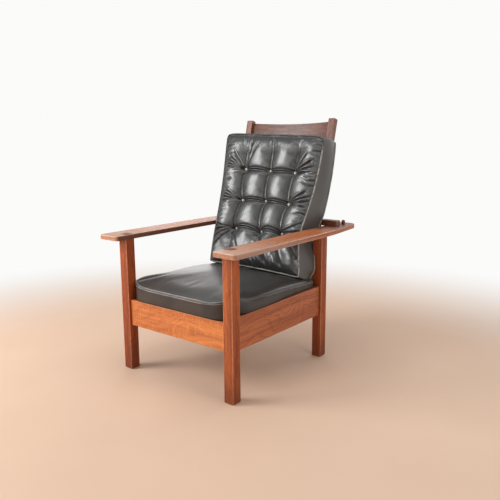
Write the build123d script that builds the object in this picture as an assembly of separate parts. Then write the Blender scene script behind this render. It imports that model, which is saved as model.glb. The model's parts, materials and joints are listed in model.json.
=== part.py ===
"""Mission reclining armchair: an oak frame with a tilting ladder back, two loose leather cushions,
and a support bar on the arms that the back leans on and that stops against a pair of pegs.

The origin is on the floor, under the middle of the arms' length. The chair faces -Y, +X is the
side of the arm on the right of someone looking at its front, and +Z is up. The pieces are drawn
about the middle of the four legs, and moved together to the origin when they are written.
Lengths are in millimetres.
"""

import os
from math import cos, radians, sin, sqrt, tan

from build123d import *

# The fixed frame
frame_width = 625.0          # over the outer faces of the legs
frame_depth = 668.0          # over the outer faces of the legs
leg_size = 45.0
arm_underside = 578.0
foot_chamfer = 3.0
edge_ease = 1.5              # wear-eased long edges
leg_tenon_size = 36.0
tenon_proud = 1.0            # end grain standing above the arm

# The rails
rail_bottom = 202.0
front_rail_height = 113.0
side_rail_height = 133.0
rail_thickness = 22.0
rail_setback = 10.0          # rail face behind the leg face
rail_tenon_thickness = 10.0
rail_tenon_length = 18.0
rail_tenon_shoulder = 10.0
glue_gap = 0.1

# The arms
arm_past_peg = 66.54         # from the rearmost peg hole to the rear end
arm_width = 113.0
arm_tail_width = 87.0
arm_thickness = 20.0
arm_front_overhang = 53.0
arm_inner_overhang = 4.5     # past the inner faces of the legs
arm_taper_start = 280.0
arm_front_radius = 14.0
arm_taper_radius = 300.0
arm_tail_radius = 40.0
arm_edge_ease = 3.0

# The seat deck
cleat_size = 22.0
cleat_end_gap = 2.0
slat_count = 6
seat_slat_width = 60.0
seat_slat_thickness = 14.0
seat_slat_side_gap = 1.0
deck_drop = 39.0             # top of the slats below the top of the front rail
deck_end_gap = 3.0           # from the legs to the first and last slats
screw_shank = 4.0
screw_head = 8.0
cleat_screw_length = 32.0
slat_screw_length = 26.0
cleat_screw_count = 4

# The seat cushion
seat_rear_gap = 38.0         # rear of the cushion to the rear rail
seat_cushion_lap = 8.0       # front of the cushion past the middle of the front rail's top
seat_side_lap = 5.0          # sides of the cushion past the inner edges of the side rails
seat_side_gap = 1.5
seat_boxing_height = 104.0   # deck to the front welt
seat_crown = 41.0            # welt to the crown, at the front
seat_fall = 26.0             # how much lower the crown lies at the rear
seat_corner_radius = 88.0
seat_rear_radius = 30.0
seat_bottom_inset_share = 0.2
seat_bottom_rise_share = 0.25
# Inset, rise above the welt, both as shares of the crown, and share of the fall
seat_crown_shares = (
    (0.0, 0.0, 0.35),
    (0.25, 0.5, 0.6),
    (0.8, 0.78, 0.85),
    (2.0, 0.93, 0.95),
    (3.8, 1.0, 1.0),
)

# The back frame, drawn upright about its pivot and then leaned
lean = 15.0                  # degrees, as the chair stands
upright_travel = 5.0         # degrees forwards
recline_travel = 8.5         # degrees backwards, until the bar meets the pegs
pivot_inset = 31.0           # forward of the rear faces of the rear legs
pivot_z = 380.0
post_width = 34.0
post_depth = 26.0
post_below_pivot = 32.0
post_above_pivot = 725.0
post_top_ease = 2.0
back_side_gap = 11.5         # post to leg
pivot_diameter = 12.7
pivot_running_gap = 0.05
pivot_engagement = 26.0
pivot_head_diameter = 20.0
pivot_head_thickness = 5.0
spacer_diameter = 28.0
spacer_play = 0.2

# The ladder of the back
slat_bow = 26.0
bowed_slat_thickness = 12.0
crest_thickness = 14.0
crest_height = 90.0
crest_drop = 12.0            # posts stand this far above the crest rail
bowed_slat_height = 56.0
bowed_slat_level_shares = (0.156, 0.414, 0.628)
bottom_rail_height = 55.0
bottom_rail_level = 25.0
bottom_rail_thickness = 18.0
housing_depth = 16.0

# The back cushion
back_cushion_lift = 2.0      # bottom of the cushion above the pivot, along the back
back_cushion_height = 610.0
back_cushion_half_width = 286.0
back_cushion_thickness = 100.0
back_cushion_arm_gap = 2.0
back_cushion_arm_rise = 16.0 # wide part starts this far above the arms
rest_gap = 0.3
tuft_depth = 20.0
tuft_land = 16.0
tuft_column_share = 0.49
button_diameter = 14.0
button_thickness = 4.5
button_dome_share = 0.6
button_gap = 0.3

# The forms of the back cushion. A level share runs from -1 at the cushion's bottom to 0 at the arms
# and 1 at its top. Width shares run from 0, the width between the arms, to 1, the width above them.
# Level, front width, rear width, thickness, seam depth and crown
bottom_shares = (
    (-1.0, -0.5, -0.45, 0.82, 0.0, 0.15),
    (-0.93, -0.1, -0.1, 0.99, 0.2, 0.5),
    (-0.7, 0.0, 0.0, 1.08, 0.35, 0.85),
    (-0.52, -0.3, -0.1, 1.14, 0.5, 0.55),
)
pillow_shares = (
    (
        (-0.19, -0.4, -0.1, 1.18, 0.5, 0.5),
        (-0.06, -0.3, 0.0, 1.15, 0.4, 0.8),
        (0.04, -0.15, 0.45, 1.1, 0.45, 0.6),
    ),
    (
        (0.29, 0.3, 0.95, 1.0, 0.45, 0.6),
        (0.38, 0.4, 1.0, 0.97, 0.3, 0.9),
        (0.47, 0.5, 1.0, 0.97, 0.45, 0.6),
    ),
)
top_shares = (
    (0.68, 0.7, 1.0, 0.98, 0.4, 0.75),
    (0.82, 0.8, 1.0, 1.0, 0.15, 0.9),
    (0.94, 0.9, 1.0, 1.0, 0.0, 0.6),
    (1.0, 0.4, 0.6, 0.8, 0.0, 0.1),
)
# Level, front width, rear width and thickness at each row of tufts, and the crown there
tuft_row_shares = (
    (-0.33, -0.44, 0.0, 1.18),
    (0.18, 0.0, 0.8, 1.02),
    (0.575, 0.55, 1.0, 0.97),
)
tuft_row_crown_share = -0.35

# The support bar and the pegs
bar_half_length = 328.0
bar_depth = 38.0
bar_height = 26.0
bar_play = 0.2
peg_inset = 53.0             # from the inner edge of the arm
peg_head_diameter = 17.0
peg_head_height = 21.0
peg_top_chamfer = 4.0
peg_shank_diameter = 12.6
peg_hole_gap = 0.1
peg_pitch = 32.0
peg_hole_count = 3
peg_end_gap = 2.0

cut_overrun = 1.0

# Places worked out from the sizes above
half_width = frame_width / 2
half_depth = frame_depth / 2
leg_inner_x = half_width - leg_size
leg_inner_y = half_depth - leg_size
arm_top = arm_underside + arm_thickness
arm_inner = leg_inner_x - arm_inner_overhang
arm_front = -half_depth - arm_front_overhang
side_rail_inner = half_width - rail_setback - rail_thickness
front_rail_inner = half_depth - rail_setback - rail_thickness
front_rail_top = rail_bottom + front_rail_height
deck_height = front_rail_top - deck_drop
slat_underside = deck_height - seat_slat_thickness
post_outer = leg_inner_x - back_side_gap
post_inner = post_outer - post_width
post_rear = post_depth / 2
bowed_slat_levels = [post_above_pivot * share for share in bowed_slat_level_shares]
cushion_rear = -(post_depth / 2 + rest_gap)
pivot_y = half_depth - pivot_inset
back_place = Location((0, pivot_y, pivot_z), (-lean, 0, 0))
front_of_seat = -(half_depth - rail_setback - rail_thickness / 2) - seat_cushion_lap
seat_cushion_depth = front_rail_inner - seat_rear_gap - front_of_seat


def post_rear_at(tilt):
    """Where the rear faces of the posts cross the top edge of the bar, from the middle of the legs."""
    angle = radians(lean + tilt)
    rise = arm_top + bar_play + bar_height - pivot_z
    return pivot_y + rise * tan(angle) + post_rear / cos(angle)


# The bar follows the back at the steady rate that joins the two ends of its travel
upright_place = post_rear_at(-upright_travel)
reclined_place = post_rear_at(recline_travel)
bar_rate = (reclined_place - upright_place) / radians(upright_travel + recline_travel)
bar_travel_forward = bar_rate * radians(upright_travel)
bar_travel_back = bar_rate * radians(recline_travel)
bar_front = upright_place + bar_travel_forward + rest_gap
bar_rear = bar_front + bar_depth
rearmost_peg = bar_rear + bar_travel_back + peg_head_diameter / 2 + rest_gap
arm_rear = rearmost_peg + arm_past_peg
arm_middle = (arm_front + arm_rear) / 2


def block(x_range, y_range, z_range):
    """A box between two values on each axis."""
    spans = [high - low for low, high in (x_range, y_range, z_range)]
    middle = [(low + high) / 2 for low, high in (x_range, y_range, z_range)]
    return Pos(*middle) * Box(*spans)


def around(middle, span):
    return (middle - span / 2, middle + span / 2)


def mirrored(shape):
    return mirror(shape, about=Plane.YZ)


def group(solids):
    return Compound(list(solids))


# Legs and rails

def cross_rail_tenons(rear, gap):
    """Tenons of the front or rear rail, grown by a gap to cut their mortises."""
    side = 1 if rear else -1
    middle = side * (half_depth - rail_setback - rail_thickness / 2)
    reach = leg_inner_x + rail_tenon_length + gap
    z_range = (rail_bottom + rail_tenon_shoulder - gap, front_rail_top - rail_tenon_shoulder + gap)
    return block((-reach, reach), around(middle, rail_tenon_thickness + 2 * gap), z_range)


def cross_rail(rear):
    side = 1 if rear else -1
    faces = sorted((side * front_rail_inner, side * (half_depth - rail_setback)))
    board = block((-leg_inner_x, leg_inner_x), faces, (rail_bottom, front_rail_top))
    board = chamfer(board.edges().filter_by(Axis.X), edge_ease)
    return board + cross_rail_tenons(rear, 0)


def side_rail_tenons(gap):
    """Tenons of the right side rail, grown by a gap to cut their mortises."""
    middle = half_width - rail_setback - rail_thickness / 2
    reach = leg_inner_y + rail_tenon_length + gap
    top = rail_bottom + side_rail_height
    z_range = (rail_bottom + rail_tenon_shoulder - gap, top - rail_tenon_shoulder + gap)
    return block(around(middle, rail_tenon_thickness + 2 * gap), (-reach, reach), z_range)


def side_rail():
    x_range = (side_rail_inner, half_width - rail_setback)
    z_range = (rail_bottom, rail_bottom + side_rail_height)
    board = block(x_range, (-leg_inner_y, leg_inner_y), z_range)
    board = chamfer(board.edges().filter_by(Axis.Y), edge_ease)
    return board + side_rail_tenons(0) - cleat_screw_places(glue_gap)


def leg_tenon(side, gap):
    x = half_width - leg_size / 2
    y = side * (half_depth - leg_size / 2)
    size = leg_tenon_size + 2 * gap
    return block(around(x, size), around(y, size), (arm_underside, arm_top + tenon_proud + gap))


def leg(rear):
    """One right-hand leg with its tenon, its mortises and, at the rear, the pivot's blind bore."""
    side = 1 if rear else -1
    y_range = sorted((side * leg_inner_y, side * half_depth))
    post = block((leg_inner_x, half_width), y_range, (0, arm_underside))
    post = chamfer(post.faces().sort_by(Axis.Z)[0].edges(), foot_chamfer)
    post = fillet(post.edges().filter_by(Axis.Z), edge_ease)
    tenon = leg_tenon(side, 0)
    tenon = chamfer(tenon.faces().sort_by(Axis.Z)[-1].edges(), tenon_proud / 2)
    post = post + tenon - cross_rail_tenons(rear, glue_gap) - side_rail_tenons(glue_gap)
    if rear:
        post -= pivot_bore()
    return post


# Arms

def peg_places():
    """Middles of the peg holes in one arm, the rearmost first."""
    return [rearmost_peg - peg_pitch * number for number in range(peg_hole_count)]


def arm():
    """The right arm: straight inner edge, outer edge that tapers behind the seat, round corners."""
    outer = arm_inner + arm_width
    corners = [
        (arm_inner, arm_front),
        (outer, arm_front),
        (outer, arm_taper_start),
        (arm_inner + arm_tail_width, arm_rear),
        (arm_inner, arm_rear),
    ]
    radii = [arm_front_radius, arm_front_radius, arm_taper_radius, arm_tail_radius, arm_front_radius]
    outline = make_face(FilletPolyline(*corners, radius=radii, close=True))
    board = Pos(0, 0, arm_underside) * extrude(outline, arm_thickness)
    rims = board.faces().sort_by(Axis.Z)
    board = fillet(rims[-1].edges() + rims[0].edges(), arm_edge_ease)
    board = board - leg_tenon(1, glue_gap) - leg_tenon(-1, glue_gap)
    hole = Cylinder(peg_shank_diameter / 2 + peg_hole_gap, arm_thickness + 2 * cut_overrun)
    for place in peg_places():
        board -= Pos(arm_inner + peg_inset, place, arm_underside + arm_thickness / 2) * hole
    return board


def peg():
    """A turned peg: shank in its hole, head on the arm."""
    x = arm_inner + peg_inset
    y = peg_places()[0]
    head = Cylinder(peg_head_diameter / 2, peg_head_height, align=(Align.CENTER, Align.CENTER, Align.MIN))
    head = chamfer(head.edges().sort_by(Axis.Z)[-1], peg_top_chamfer)
    shank_length = arm_thickness - peg_end_gap
    shank = Cylinder(peg_shank_diameter / 2, shank_length, align=(Align.CENTER, Align.CENTER, Align.MAX))
    shank = chamfer(shank.edges().sort_by(Axis.Z)[0], edge_ease)
    return Pos(x, y, arm_top) * (head + shank)


# Seat deck

def wood_screw(length, gap):
    """A countersunk screw that points along -Z from a head flush with the origin."""
    head_height = (screw_head - screw_shank) / 2
    sunk = (Align.CENTER, Align.CENTER, Align.MAX)
    head = Cone(screw_shank / 2 + gap, screw_head / 2 + gap, head_height + gap, align=sunk)
    shank = Cylinder(screw_shank / 2 + gap, length + gap, align=sunk)
    return head + shank


def cleat_screw_places(gap):
    """Screws through the right cleat into the side rail."""
    run = leg_inner_y - cleat_end_gap
    height = slat_underside - cleat_size / 2
    place = Location((side_rail_inner - cleat_size, 0, height), (0, -90, 0))
    screw = place * wood_screw(cleat_screw_length, gap)
    pitch = 2 * run / cleat_screw_count
    places = [-run + pitch * (number + 0.5) for number in range(cleat_screw_count)]
    return [Pos(0, place, 0) * screw for place in places]


def slat_places():
    """Middles of the seat slats, front to back."""
    first = -leg_inner_y + deck_end_gap + seat_slat_width / 2
    pitch = -2 * first / (slat_count - 1)
    return [first + pitch * number for number in range(slat_count)]


def slat_screw_places(gap):
    """Screws through the right ends of the slats into the cleat."""
    screw = wood_screw(slat_screw_length, gap)
    x = side_rail_inner - cleat_size / 2
    return [Pos(x, place, deck_height) * screw for place in slat_places()]


def cleat():
    run = leg_inner_y - cleat_end_gap
    x_range = (side_rail_inner - cleat_size, side_rail_inner)
    bar = block(x_range, (-run, run), (slat_underside - cleat_size, slat_underside))
    return bar - cleat_screw_places(glue_gap) - slat_screw_places(glue_gap)


def seat_slats():
    reach = side_rail_inner - seat_slat_side_gap
    z_range = (slat_underside, deck_height)
    slats = []
    for place, right_screw in zip(slat_places(), slat_screw_places(glue_gap)):
        slat = block((-reach, reach), around(place, seat_slat_width), z_range)
        slat = chamfer(slat.edges().filter_by(Axis.X), edge_ease)
        slats.append(slat - right_screw - mirrored(right_screw))
    return slats


# Seat cushion, built up from level outlines that lean back with the crown

def seat_outline(side, front, inset, level, fall=0):
    """One outline of the cushion, drawn in by an inset, its rear lower than its front by the fall."""
    half, front = side - inset, front + inset
    rear = front_of_seat + seat_cushion_depth - inset
    corners = [(-half, front), (half, front), (half, rear), (-half, rear)]
    front_radius = seat_corner_radius * half / side
    rear_radius = seat_rear_radius * half / side
    radii = [front_radius, front_radius, rear_radius, rear_radius]
    outline = make_face(FilletPolyline(*corners, radius=radii, close=True))
    pitch = fall / seat_cushion_depth
    origin = (0, 0, level + fall * front_of_seat / seat_cushion_depth)
    plane = Plane(origin=origin, x_dir=(1, 0, 0), z_dir=(0, pitch, 1))
    return plane * outline


def seat_cushion():
    """Lowest between the four rails, then out over the front rail, then over the side rails too."""
    welt = deck_height + seat_boxing_height
    front_rail_gap = front_rail_top + rest_gap
    side_rail_gap = rail_bottom + side_rail_height + rest_gap
    inner_front = -front_rail_inner + seat_side_gap
    inner_side = side_rail_inner - seat_side_gap
    outer_side = side_rail_inner + seat_side_lap
    bottom_inset = seat_crown * seat_bottom_inset_share
    bottom_rise = seat_crown * seat_bottom_rise_share
    lower = loft([
        seat_outline(inner_side, inner_front, bottom_inset, deck_height + rest_gap),
        seat_outline(inner_side, inner_front, 0, deck_height + bottom_rise),
        seat_outline(inner_side, inner_front, 0, front_rail_gap),
    ], ruled=True)
    middle = loft([
        seat_outline(inner_side, front_of_seat, 0, front_rail_gap),
        seat_outline(inner_side, front_of_seat, 0, side_rail_gap),
    ], ruled=True)
    layers = [seat_outline(outer_side, front_of_seat, 0, side_rail_gap)]
    for inset_share, rise_share, fall_share in seat_crown_shares:
        inset, fall = seat_crown * inset_share, seat_fall * fall_share
        level = welt + seat_crown * rise_share
        layers.append(seat_outline(outer_side, front_of_seat, inset, level, fall))
    return lower + middle + loft(layers, ruled=True)


# Back frame, in its own upright frame with the pivot at the origin and its front towards -Y

def bowed_board(level, height, thickness, gap):
    """A board bowed to the rear, let into the posts from behind, grown by a gap to cut its housings.

    The rear of the board meets the rear of the post at the bottom of the housing.
    """
    inner_radius = (post_inner ** 2 + slat_bow ** 2) / (2 * slat_bow)
    outer_radius = inner_radius + thickness
    end = post_inner + housing_depth
    centre = Pos(0, post_rear - sqrt(outer_radius ** 2 - end ** 2))
    ring = Circle(outer_radius + gap) - Circle(inner_radius - gap)
    window = Rectangle(2 * (end + gap), inner_radius, align=(Align.CENTER, Align.MIN))
    face = (centre * ring) & (Pos(0, -post_depth) * window)
    return Pos(0, 0, level - gap) * extrude(face, height + 2 * gap)


def crest(gap):
    level = post_above_pivot - crest_drop - crest_height
    return bowed_board(level, crest_height, crest_thickness, gap)


def bottom_rail(gap):
    reach = post_inner + housing_depth + gap
    z_range = (bottom_rail_level - gap, bottom_rail_level + bottom_rail_height + gap)
    return block((-reach, reach), around(0, bottom_rail_thickness + 2 * gap), z_range)


def post():
    """The right post of the back, housed for the boards of the ladder and bored for the pivot."""
    y_range = around(0, post_depth)
    blank = block((post_inner, post_outer), y_range, (-post_below_pivot, post_above_pivot))
    blank = chamfer(blank.faces().sort_by(Axis.Z)[-1].edges(), post_top_ease)
    blank = fillet(blank.edges().filter_by(Axis.Z), edge_ease)
    blank = blank - crest(glue_gap) - bottom_rail(glue_gap)
    for level in bowed_slat_levels:
        blank -= bowed_board(level, bowed_slat_height, bowed_slat_thickness, glue_gap)
    return blank - pivot_cylinder(post_inner - cut_overrun, leg_inner_x, pivot_running_gap)


# Pivots

def pivot_cylinder(start, end, gap):
    """A round bar along X on the pivot axis, from one place to another."""
    bar = Cylinder(pivot_diameter / 2 + gap, end - start, align=(Align.CENTER, Align.CENTER, Align.MIN))
    return Location((start, 0, 0), (0, 90, 0)) * bar


def pivot_bore():
    end = leg_inner_x + pivot_engagement + cut_overrun
    return back_place * pivot_cylinder(leg_inner_x - cut_overrun, end, pivot_running_gap)


def pivot_pin():
    """A steel pin driven from inside the post, through the spacer, into the leg."""
    sunk = (Align.CENTER, Align.CENTER, Align.MAX)
    head = Cylinder(pivot_head_diameter / 2, pivot_head_thickness, align=sunk)
    head = chamfer(head.edges().sort_by(Axis.Z)[0], pivot_head_thickness / 2)
    head = Location((post_inner, 0, 0), (0, 90, 0)) * head
    return head + pivot_cylinder(post_inner, leg_inner_x + pivot_engagement, 0)


def pivot_spacer():
    """A hardwood washer glued to the leg, with a little play to the post."""
    thickness = back_side_gap - spacer_play
    disc = Cylinder(spacer_diameter / 2, thickness, align=(Align.CENTER, Align.CENTER, Align.MAX))
    disc = Location((leg_inner_x, 0, 0), (0, 90, 0)) * disc
    return back_place * (disc - pivot_cylinder(post_outer, leg_inner_x + cut_overrun, pivot_running_gap))


# Back cushion, in the same upright frame as the back

def arm_level(tilt):
    """Height along the leaned back at which its front face passes the top of the arms."""
    angle = radians(lean + tilt)
    rise = arm_top + back_cushion_arm_rise - pivot_z
    return (rise - post_rear * sin(angle)) / cos(angle)


def cushion_level(share):
    """Height along the back of a level share."""
    bottom = back_cushion_lift
    middle = arm_level(recline_travel)
    top = back_cushion_lift + back_cushion_height
    return middle + share * (middle - bottom if share < 0 else top - middle)


def cushion_section(level, front_share, rear_share, thickness_share, seam_share, crown_share):
    """One level outline of the cushion: flat back, drawn-in sides and four pillows between seams."""
    narrow = arm_inner - back_cushion_arm_gap
    swell = back_cushion_half_width - narrow
    front_half = narrow + swell * front_share
    rear_half = narrow + swell * rear_share
    front = cushion_rear - back_cushion_thickness * thickness_share
    seam = front + tuft_depth * seam_share
    crown = front - tuft_depth * crown_share
    column = back_cushion_half_width * tuft_column_share
    land = tuft_land / 2
    rim = [(front_half, front)]
    for place in (column, 0, -column):
        rim += [(place + land, seam), (place - land, seam)]
    rim.append((-front_half, front))
    rear_right, rear_left = (rear_half, cushion_rear), (-rear_half, cushion_rear)
    edges = [Line(rear_left, rear_right), Line(rear_right, rim[0])]
    for number in range(len(rim) - 1):
        start, end = rim[number], rim[number + 1]
        if number % 2:
            edges.append(Line(start, end))
        else:
            edges.append(ThreePointArc(start, ((start[0] + end[0]) / 2, crown), end))
    edges.append(Line(rim[-1], rear_left))
    return Pos(0, 0, level) * make_face(Wire(edges))


def tuft_row(number):
    """The two sections that bound a row of tufts: creased pillows and flat lands for the buttons."""
    level_share, *form_shares = tuft_row_shares[number]
    level = cushion_level(level_share)
    return [
        cushion_section(level + side * tuft_land / 2, *form_shares, 1, tuft_row_crown_share)
        for side in (-1, 1)
    ]


def back_cushion():
    sections = [cushion_section(cushion_level(row[0]), *row[1:]) for row in bottom_shares]
    sections += tuft_row(0)
    for number, pillows in enumerate(pillow_shares):
        sections += [cushion_section(cushion_level(row[0]), *row[1:]) for row in pillows]
        sections += tuft_row(number + 1)
    sections += [cushion_section(cushion_level(row[0]), *row[1:]) for row in top_shares]
    return loft(sections, ruled=True)


def tuft_buttons():
    """Nine buttons, each on its land in the front of the cushion."""
    disc = Cylinder(button_diameter / 2, button_thickness, align=(Align.CENTER, Align.CENTER, Align.MIN))
    disc = chamfer(disc.edges().sort_by(Axis.Z)[-1], button_thickness * button_dome_share)
    buttons = []
    for level_share, _, _, thickness_share in tuft_row_shares:
        seat = cushion_rear - back_cushion_thickness * thickness_share + tuft_depth - button_gap
        for column in (-1, 0, 1):
            x = column * back_cushion_half_width * tuft_column_share
            buttons.append(Location((x, seat, cushion_level(level_share)), (90, 0, 0)) * disc)
    return buttons


# Support bar

def support_bar():
    base = arm_top + bar_play
    bar = block((-bar_half_length, bar_half_length), (bar_front, bar_rear), (base, base + bar_height))
    return chamfer(bar.edges(), edge_ease)


front_leg, rear_leg = leg(rear=False), leg(rear=True)
right_rail, right_arm, right_cleat = side_rail(), arm(), cleat()
right_post, right_pin, right_peg = back_place * post(), back_place * pivot_pin(), peg()
screws = cleat_screw_places(0)
slat_screws = slat_screw_places(0)

nodes = {
    "leg_front_left": mirrored(front_leg),
    "leg_front_right": front_leg,
    "leg_rear_left": mirrored(rear_leg),
    "leg_rear_right": rear_leg,
    "front_rail": cross_rail(rear=False),
    "rear_rail": cross_rail(rear=True),
    "side_rail_left": mirrored(right_rail),
    "side_rail_right": right_rail,
    "arm_left": mirrored(right_arm),
    "arm_right": right_arm,
    "seat_cleat_left": mirrored(right_cleat),
    "seat_cleat_right": right_cleat,
    "cleat_screws": group(screws + [mirrored(screw) for screw in screws]),
    "slat_screws": group(slat_screws + [mirrored(screw) for screw in slat_screws]),
    "seat_cushion": seat_cushion(),
    "back_post_left": mirrored(right_post),
    "back_post_right": right_post,
    "crest_rail": back_place * crest(0),
    "back_bottom_rail": back_place * bottom_rail(0),
    "pivot_pin_left": mirrored(right_pin),
    "pivot_pin_right": right_pin,
    "pivot_spacer_left": mirrored(pivot_spacer()),
    "pivot_spacer_right": pivot_spacer(),
    "back_cushion": back_place * back_cushion(),
    "tuft_buttons": group(back_place * button for button in tuft_buttons()),
    "support_bar": support_bar(),
    "peg_left": mirrored(right_peg),
    "peg_right": right_peg,
}
for number, slat in enumerate(seat_slats()):
    nodes[f"seat_slat_{number + 1}"] = slat
for number, level in enumerate(bowed_slat_levels):
    board = bowed_board(level, bowed_slat_height, bowed_slat_thickness, 0)
    nodes[f"back_slat_{number + 1}"] = back_place * board

os.makedirs("parts", exist_ok=True)
for name, shape in nodes.items():
    export_step(Pos(0, -arm_middle, 0) * shape, f"parts/{name}.step")

print(f"pivot at y {pivot_y - arm_middle:.2f}, z {pivot_z:.2f}")
print(f"bar moves {bar_rate:.2f} mm per radian, {bar_travel_forward:.2f} forwards")
print(f"and {bar_travel_back:.2f} back, from y {bar_front - arm_middle:.2f} to {bar_rear - arm_middle:.2f}")
holes = [round(place - arm_middle, 2) for place in peg_places()]
print(f"peg holes at y {holes}, x {arm_inner + peg_inset:.1f}")
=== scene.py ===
"""Mission reclining armchair: looks of the oak, the leather cushions and the fittings."""

import json
from math import cos, pi, radians, sin

import bpy
import numpy as np
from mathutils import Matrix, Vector


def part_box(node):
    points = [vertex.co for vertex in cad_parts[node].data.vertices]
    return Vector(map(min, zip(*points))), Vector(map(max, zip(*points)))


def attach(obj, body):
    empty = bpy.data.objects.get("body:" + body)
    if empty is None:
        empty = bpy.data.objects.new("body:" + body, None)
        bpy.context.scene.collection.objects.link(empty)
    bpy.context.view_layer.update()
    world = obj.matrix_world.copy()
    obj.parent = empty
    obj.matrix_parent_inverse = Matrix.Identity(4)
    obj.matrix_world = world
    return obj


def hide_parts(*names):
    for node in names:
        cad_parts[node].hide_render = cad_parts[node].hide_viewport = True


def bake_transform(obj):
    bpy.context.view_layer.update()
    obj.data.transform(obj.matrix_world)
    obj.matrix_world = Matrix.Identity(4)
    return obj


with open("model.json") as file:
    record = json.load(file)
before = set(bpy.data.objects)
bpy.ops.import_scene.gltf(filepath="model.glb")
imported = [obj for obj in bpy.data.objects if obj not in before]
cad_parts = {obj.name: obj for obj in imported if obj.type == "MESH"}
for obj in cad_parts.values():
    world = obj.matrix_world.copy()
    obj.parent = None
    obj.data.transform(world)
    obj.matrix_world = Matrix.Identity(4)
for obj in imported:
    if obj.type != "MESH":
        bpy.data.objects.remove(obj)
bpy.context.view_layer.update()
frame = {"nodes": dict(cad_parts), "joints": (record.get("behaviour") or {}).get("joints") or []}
nodes = frame["nodes"]


# Studio
# A plain pale floor, a white surround and large soft lamps, seen from the photograph's place.

scene = bpy.context.scene
scene.view_settings.view_transform = "Standard"

camera_place = (1.6144, -1.9483, 0.9914)
camera_turn = (79.031, 0.351, 38.265)   # degrees
camera_focal_pixels = 573.0
frame_pixels = 500
camera_data = bpy.data.cameras.new("camera")
camera_data.sensor_width = 36.0
camera_data.lens = camera_data.sensor_width * camera_focal_pixels / frame_pixels
camera = bpy.data.objects.new("camera", camera_data)
camera.location = camera_place
camera.rotation_euler = [radians(angle) for angle in camera_turn]
scene.collection.objects.link(camera)
scene.camera = camera


def feed(node, values):
    """Sets a node's inputs to values, or links them to other sockets."""
    for name, value in values.items():
        socket = node.inputs[name]
        if isinstance(value, bpy.types.NodeSocket):
            node.id_data.links.new(value, socket)
        else:
            socket.default_value = value


def add(tree, kind, values=None, **settings):
    """A node of a shader or geometry tree, its kind written without that prefix, its inputs fed."""
    node = tree.nodes.new(tree.bl_idname.removesuffix("Tree") + kind)
    for name, value in settings.items():
        setattr(node, name, value)
    feed(node, values or {})
    return node


def maths(first, second, operation):
    """The result of an operation on two values, in the tree of the one that is a socket."""
    owner = first if isinstance(first, bpy.types.NodeSocket) else second
    return add(owner.id_data, "Math", {0: first, 1: second}, operation=operation).outputs[0]


def vectors(first, second, operation):
    return add(first.id_data, "VectorMath", {0: first, 1: second}, operation=operation).outputs[0]


def times(*factors):
    result = factors[0]
    for factor in factors[1:]:
        result = maths(result, factor, "MULTIPLY")
    return result


def ramp(value, low, high):
    """A value mapped smoothly from a range to 0 and 1."""
    return add(value.id_data, "MapRange", {"Value": value, "From Min": low, "From Max": high},
               interpolation_type="SMOOTHSTEP").outputs["Result"]


def blend(factor, first, second):
    return add(factor.id_data, "Mix", {"Factor": factor, "A": first, "B": second},
               data_type="RGBA").outputs["Result"]


def noise(vector, scale, detail=3.0, distortion=0.0):
    """Noise over a place, with one scale or one for each axis."""
    spread = vectors(vector, scale if isinstance(scale, tuple) else (scale,) * 3, "MULTIPLY")
    return add(vector.id_data, "TexNoise", {
        "Vector": spread, "Scale": 1.0, "Detail": detail, "Distortion": distortion}).outputs["Fac"]


def object_place(tree):
    return add(tree, "TexCoord").outputs["Object"]


def new_material(name):
    material = bpy.data.materials.new(name)
    material.use_nodes = True
    material.node_tree.nodes.clear()
    return material, material.node_tree


def put(name, vertices, faces, material, edge_material=None, face_count=0):
    """A smooth mesh object in the row frame; the faces past a count have the edge material, if any."""
    mesh = bpy.data.meshes.new(name)
    mesh.from_pydata([tuple(point) for point in vertices], [], [tuple(face) for face in faces])
    mesh.materials.append(material)
    mesh.polygons.foreach_set("use_smooth", [True] * len(mesh.polygons))
    mesh.validate()
    if edge_material:
        mesh.materials.append(edge_material)
        mesh.polygons.foreach_set(
            "material_index", [int(number >= face_count) for number in range(len(mesh.polygons))])
    piece = bpy.data.objects.new(name, mesh)
    scene.collection.objects.link(piece)
    return piece


def seen_past(tree):
    """1 for what the camera sees past the object, or what a glossy or clear surface shows of it."""
    path = add(tree, "LightPath").outputs
    shown = maths(path["Is Camera Ray"], path["Is Glossy Ray"], "MAXIMUM")
    return maths(shown, path["Is Transmission Ray"], "MAXIMUM")


backdrop_colour = (0.965, 0.965, 0.955, 1)
world = bpy.data.worlds.new("studio")
scene.world = world
world.use_nodes = True
tree = world.node_tree
tree.nodes.clear()
ambient = add(tree, "Background", {"Color": (0.98, 0.99, 1.0, 1), "Strength": 0.3})
# Glossy surfaces find the side that the chair faces dimmer than the wall behind it, as in a room
way = add(tree, "SeparateXYZ", {0: add(tree, "TexCoord").outputs["Generated"]})
room = add(tree, "MapRange", {
    "Value": way.outputs["Y"], "From Min": -0.2, "From Max": 0.6, "To Min": 0.36, "To Max": 1.0})
bright = maths(room.outputs["Result"], add(tree, "LightPath").outputs["Is Camera Ray"], "MAXIMUM")
white = add(tree, "Background", {"Color": backdrop_colour, "Strength": bright})
world_mix = add(tree, "MixShader", {0: seen_past(tree), 1: ambient.outputs[0], 2: white.outputs[0]})
add(tree, "OutputWorld", {"Surface": world_mix.outputs[0]})

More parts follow.
